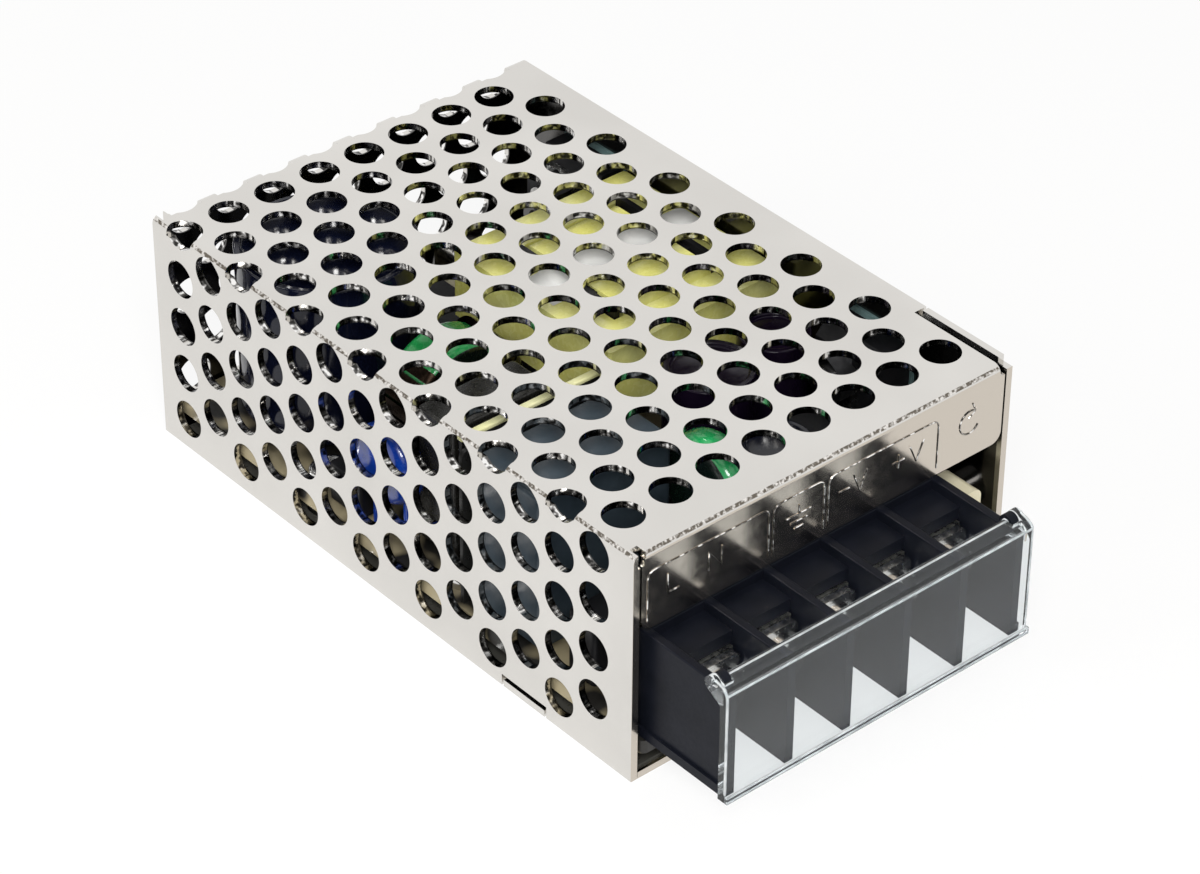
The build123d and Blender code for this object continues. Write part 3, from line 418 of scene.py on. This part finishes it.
# What each solid is made of
dress(sheet_metal, "mesh_cover", "base_chassis")
dress(dull_nut, "clamp_nuts")
dress(bright_screw, "cover_screws", "board_screws", "clamp_screws")
dress(bright_screw, *[f"terminal_screw_{i}" for i in TERMINALS])
dress(tin, "terminal_contacts", "board_standoffs")
dress(clamp_steel, "clamp_bars", *[f"clamp_plate_{i}" for i in TERMINALS])
dress(copper_wire, "choke_windings")
dress(black_moulding, "terminal_block")
dress(black_resin, "transformer_bobbin", "choke_saddle", "output_choke", "line_fuse")
dress(black_resin, "bridge_rectifier", "output_rectifier", "switching_transistor")
dress(black_resin, "control_chip", "optocoupler", "diodes")
dress(cream, "trimmer_body", "trimmer_knob", "resistors")
dress(ferrite, "transformer_core")
dress(navy_sleeve, "bulk_capacitor", "output_capacitor_3", "supply_capacitor")
dress(purple_sleeve, "output_capacitor_1", "output_capacitor_2")
dress(blue_epoxy, "surge_suppressor", "safety_capacitor")
dress(green_epoxy, "inrush_limiter")
dress(green_ring, "choke_core")
dress(slate_box, "line_capacitor")
dress(brown_box, "filter_capacitor")
dress(dark_film, "insulating_wall")
dress(under_film, "insulating_sheet")
dress(teal_pad, "insulating_pads")
dress(yellow_film, "transformer_tape", "transformer_winding")
dress(board, "circuit_board")
dress(clear, "terminal_cover")


# Pieces drawn as wires: fine raised lines, and beads on the clear cover's edges that are painted highlights
def wires(name, lines, radius, body, material):
    """Round beads along lines of points, in millimetres."""
    curve = bpy.data.curves.new(name, "CURVE")
    curve.dimensions = "3D"
    curve.bevel_depth = radius * MM
    curve.bevel_resolution = 2
    curve.use_fill_caps = True
    for points in lines:
        spline = curve.splines.new("POLY")
        spline.points.add(len(points) - 1)
        for point, place in zip(spline.points, points):
            point.co = (*[part * MM for part in place], 1.0)
    curve.materials.append(material)
    add_piece(name, curve, body)


def rounded(points, radius=1.0, steps=4):
    """The same line with its inner corners rounded."""
    points = [Vector(point) for point in points]
    out = [points[0]]
    for before, corner, after in zip(points, points[1:], points[2:]):
        start = corner + (before - corner).normalized() * min(radius, (before - corner).length / 2)
        end = corner + (after - corner).normalized() * min(radius, (after - corner).length / 2)
        for i in range(steps + 1):
            t = i / steps
            out.append(start * (1 - t) ** 2 + corner * 2 * t * (1 - t) + end * t * t)
    out.append(points[-1])
    return out


# Marks pressed into the flange, in millimetres from the case's left side and from its base
MARK_Y = FRONT - 0.02
FRAME_LOW, FRAME_HIGH = 19.3, 25.3
FRAME_SPANS = ((1.8, 17.6), (18.2, 25.0), (25.6, 40.7))
FRAME_BEAD = 0.09
LETTER_LOW, LETTER_HIGH = 21.6, 23.9
LETTER_BEAD = 0.10
SIGN_HEIGHT = 22.7
EARTH_BARS = ((22.8, 1.7), (22.0, 1.1), (21.2, 0.6))
TURN_X, TURN_Z = 45.2, 22.9
TURN_RADIUS = 1.4
TURN_ANGLES = range(60, 331, 15)
TURN_HEAD = [(45.0, 23.4), (45.95, 24.1), (45.5, 25.1)]


def on_flange(points):
    return [Vector((LEFT + across, MARK_Y, height)) for across, height in points]


def bar(middle, height, half_width):
    return [(middle - half_width, height), (middle + half_width, height)]


def letter_v(left, right):
    return [(left, LETTER_HIGH), ((left + right) / 2, LETTER_LOW), (right, LETTER_HIGH)]


def earth_sign(middle):
    bars = [bar(middle, height, half_width) for height, half_width in EARTH_BARS]
    return [[(middle, LETTER_HIGH), (middle, EARTH_BARS[0][0])], *bars]


def turning_arrow():
    angles = [radians(angle) for angle in TURN_ANGLES]
    arc = [(TURN_X + TURN_RADIUS * cos(angle), TURN_Z + TURN_RADIUS * sin(angle)) for angle in angles]
    return [arc, TURN_HEAD]


frame_lines = [
    [(start, FRAME_LOW), (start, FRAME_HIGH), (end, FRAME_HIGH), (end, FRAME_LOW)]
    for start, end in FRAME_SPANS
]
letter_lines = [
    # L and N
    [(4.4, LETTER_HIGH), (4.4, LETTER_LOW), (5.9, LETTER_LOW)],
    [(9.7, LETTER_LOW), (9.7, LETTER_HIGH), (11.4, LETTER_LOW), (11.4, LETTER_HIGH)],
    *earth_sign(21.6),
    # minus V
    bar(27.7, SIGN_HEIGHT, 0.7),
    letter_v(29.0, 30.8),
    # plus V
    bar(35.2, SIGN_HEIGHT, 0.8),
    [(35.2, SIGN_HEIGHT + 0.8), (35.2, SIGN_HEIGHT - 0.8)],
    letter_v(36.7, 38.7),
    *turning_arrow(),
]
wires(
    "flange_frames", [rounded(on_flange(line)) for line in frame_lines], FRAME_BEAD,
    "case", sheet_metal,
)
wires("flange_marks", [on_flange(line) for line in letter_lines], LETTER_BEAD, "case", sheet_metal)


# Pieces made as meshes
def mesh_from(name, shape, material):
    mesh = bpy.data.meshes.new(name)
    shape.to_mesh(mesh)
    shape.free()
    mesh.materials.append(material)
    return mesh


# Paper band round the transformer, left bare: its profile across the core, in millimetres
CORE_X, CORE_Y = LEFT + 37.2, FRONT + 45.3
BAND_PROFILE = ((-11.0, 23.26), (-8.2, 23.3), (-7.8, 24.27), (7.8, 24.27), (8.2, 23.3), (12.0, 23.26))
BAND_ROUND = 0.3
BAND_HALF = 2.9
BAND_BACK = 0.5
BAND_STRIPS = 6
PAPER_THICK = 0.05


def paper_band(name, body):
    profile = [(CORE_X + across, 0, height) for across, height in BAND_PROFILE]
    points = rounded(profile, BAND_ROUND, steps=3)
    shape = bmesh.new()
    rows = []
    for strip in range(BAND_STRIPS + 1):
        y = CORE_Y + BAND_BACK - BAND_HALF + strip * 2 * BAND_HALF / BAND_STRIPS
        rows.append([shape.verts.new((point.x * MM, y * MM, point.z * MM)) for point in points])
    for first, second in zip(rows, rows[1:]):
        for i in range(len(first) - 1):
            shape.faces.new((first[i], first[i + 1], second[i + 1], second[i]))
    shape.normal_update()
    bmesh.ops.solidify(shape, geom=shape.faces[:], thickness=PAPER_THICK * MM)
    add_piece(name, mesh_from(name, shape, paper), body)


paper_band("transformer_band", "case")


# Second leaf of the insulating film, between the two boxed capacitors, and its pale rolled edge
def bevelled_block(name, low, high, width, body, material):
    """A block with rounded edges, from its lowest to its highest corner in millimetres."""
    shape = bmesh.new()
    bmesh.ops.create_cube(shape, size=1.0)
    for vertex in shape.verts:
        vertex.co = [MM * (a + (b - a) * (c + 0.5)) for a, b, c in zip(low, high, vertex.co)]
    bmesh.ops.bevel(shape, geom=shape.edges[:], offset=width * MM, segments=3, profile=0.5, affect="EDGES")
    add_piece(name, mesh_from(name, shape, material), body)


leaf_low = (LEFT + 3.4, FRONT + 30.2, BOARD_TOP)
leaf_high = (LEFT + 21.8, FRONT + 30.7, 23.3)
roll_low = (LEFT + 3.3, FRONT + 30.0, 23.2)
roll_high = (LEFT + 21.9, FRONT + 30.9, 23.8)
bevelled_block("film_leaf", leaf_low, leaf_high, 0.12, "case", dark_film)
bevelled_block("film_edge", roll_low, roll_high, 0.2, "case", pale_film)

# Edges of the clear cover, which catch the light: opaque pale beads just inside its outline, painted
# highlights of those edges
EDGE_BEAD = 0.14
EDGE_ROUND = 0.45
RIM_THICK = 0.35
RIM_HEIGHT = 0.8
RIM_LINE = 0.55
HINGE_LINE = ((-49.4, 18.75), (-50.6, 18.5))
FRONT_TOP = 17.7
REAR_TOP = (-49.15, 18.36)
REAR_INSET = 1.6
TOP_LIFT = 0.05


def cover_lines():
    low, high = [Vector(corner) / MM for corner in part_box("terminal_cover")]
    left, right = low.x + EDGE_BEAD, high.x - EDGE_BEAD
    front = low.y + RIM_THICK + EDGE_BEAD
    rim = low.y + EDGE_BEAD
    bottom = low.z + EDGE_BEAD
    sides = [
        [*[(x, y, z) for y, z in HINGE_LINE], (x, front, FRONT_TOP), (x, front, bottom + RIM_HEIGHT)]
        for x in (left, right)
    ]
    front_edge = [(x, front + TOP_LIFT, FRONT_TOP + TOP_LIFT) for x in (left, right)]
    rear_edge = [(x, *REAR_TOP) for x in (left + REAR_INSET, right - REAR_INSET)]
    rim_edges = [[(x, rim, bottom + lift) for x in (left, right)] for lift in (0, RIM_LINE)]
    return [*sides, front_edge, rear_edge, *rim_edges]


wires(
    "cover_edge_glints", [rounded(line, EDGE_ROUND) for line in cover_lines()], EDGE_BEAD,
    "lid", painted_edge_glint,
)


# Floor, surroundings and lamps
def seen_directly(tree):
    """1 for rays from the camera, off gloss or through clear plastic, which see plain white."""
    path = tree.nodes.new("ShaderNodeLightPath")
    return largest(tree, *[path.outputs[f"Is {kind} Ray"] for kind in ("Camera", "Glossy", "Transmission")])


FLOOR_SIZE = 3.0
FLOOR_HEIGHT = -0.00002
FLOOR_GLOW = 0.86


def lay_floor():
    """A white floor, where what isn't glow still takes the object's shadow."""
    material, tree, shader = new_material("floor_white")
    shader.inputs["Base Color"].default_value = (0.92, 0.915, 0.905, 1.0)
    shader.inputs["Roughness"].default_value = 0.9
    glow = tree.nodes.new("ShaderNodeEmission")
    glow.inputs["Color"].default_value = (1.0, 1.0, 1.0, 1.0)
    share = product(tree, seen_directly(tree), FLOOR_GLOW)
    mix_shaders(tree, share, shader.outputs["BSDF"], glow.outputs["Emission"], "Material Output")
    half = FLOOR_SIZE / 2
    corners = [(x, y, FLOOR_HEIGHT) for x, y in ((-half, -half), (half, -half), (half, half), (-half, half))]
    mesh = bpy.data.meshes.new("floor")
    mesh.from_pydata(corners, [], [(0, 1, 2, 3)])
    mesh.materials.append(material)
    floor = add_object("floor", mesh)


SKY_COLOUR = (1.0, 0.99, 0.97, 1.0)
SKY_STRENGTH = 0.42


def hang_sky():
    world = bpy.data.worlds.new("surroundings")
    bpy.context.scene.world = world
    world.use_nodes = True
    tree = world.node_tree
    background = tree.nodes["Background"]
    background.inputs["Color"].default_value = SKY_COLOUR
    background.inputs["Strength"].default_value = SKY_STRENGTH
    white = tree.nodes.new("ShaderNodeBackground")
    white.inputs["Color"].default_value = (1.0, 1.0, 1.0, 1.0)
    white.inputs["Strength"].default_value = 1.0
    mix_shaders(
        tree,
        seen_directly(tree),
        background.outputs["Background"],
        white.outputs["Background"],
        "World Output",
    )


def lamp(name, place, target, side, power, colour=(1.0, 1.0, 1.0)):
    """A square lamp, in metres and watts, that looks from its place to the target."""
    data = bpy.data.lights.new(name, "AREA")
    data.shape = "RECTANGLE"
    data.size, data.size_y = side, side
    data.energy = power
    data.color = colour
    direction = Vector(target) - Vector(place)
    turn = direction.to_track_quat("-Z", "Y").to_matrix().to_4x4()
    add_object(name, data).matrix_world = Matrix.Translation(place) @ turn


lay_floor()
hang_sky()
lamp("key_lamp", (-0.30, -0.34, 0.44), (0, 0, 0.015), 0.22, 3.2)
lamp("left_lamp", (-0.5, 0.1, 0.34), (0, 0, 0.01), 0.2, 0.9, (1.0, 0.98, 0.95))

bpy.context.scene.view_settings.view_transform = "Standard"
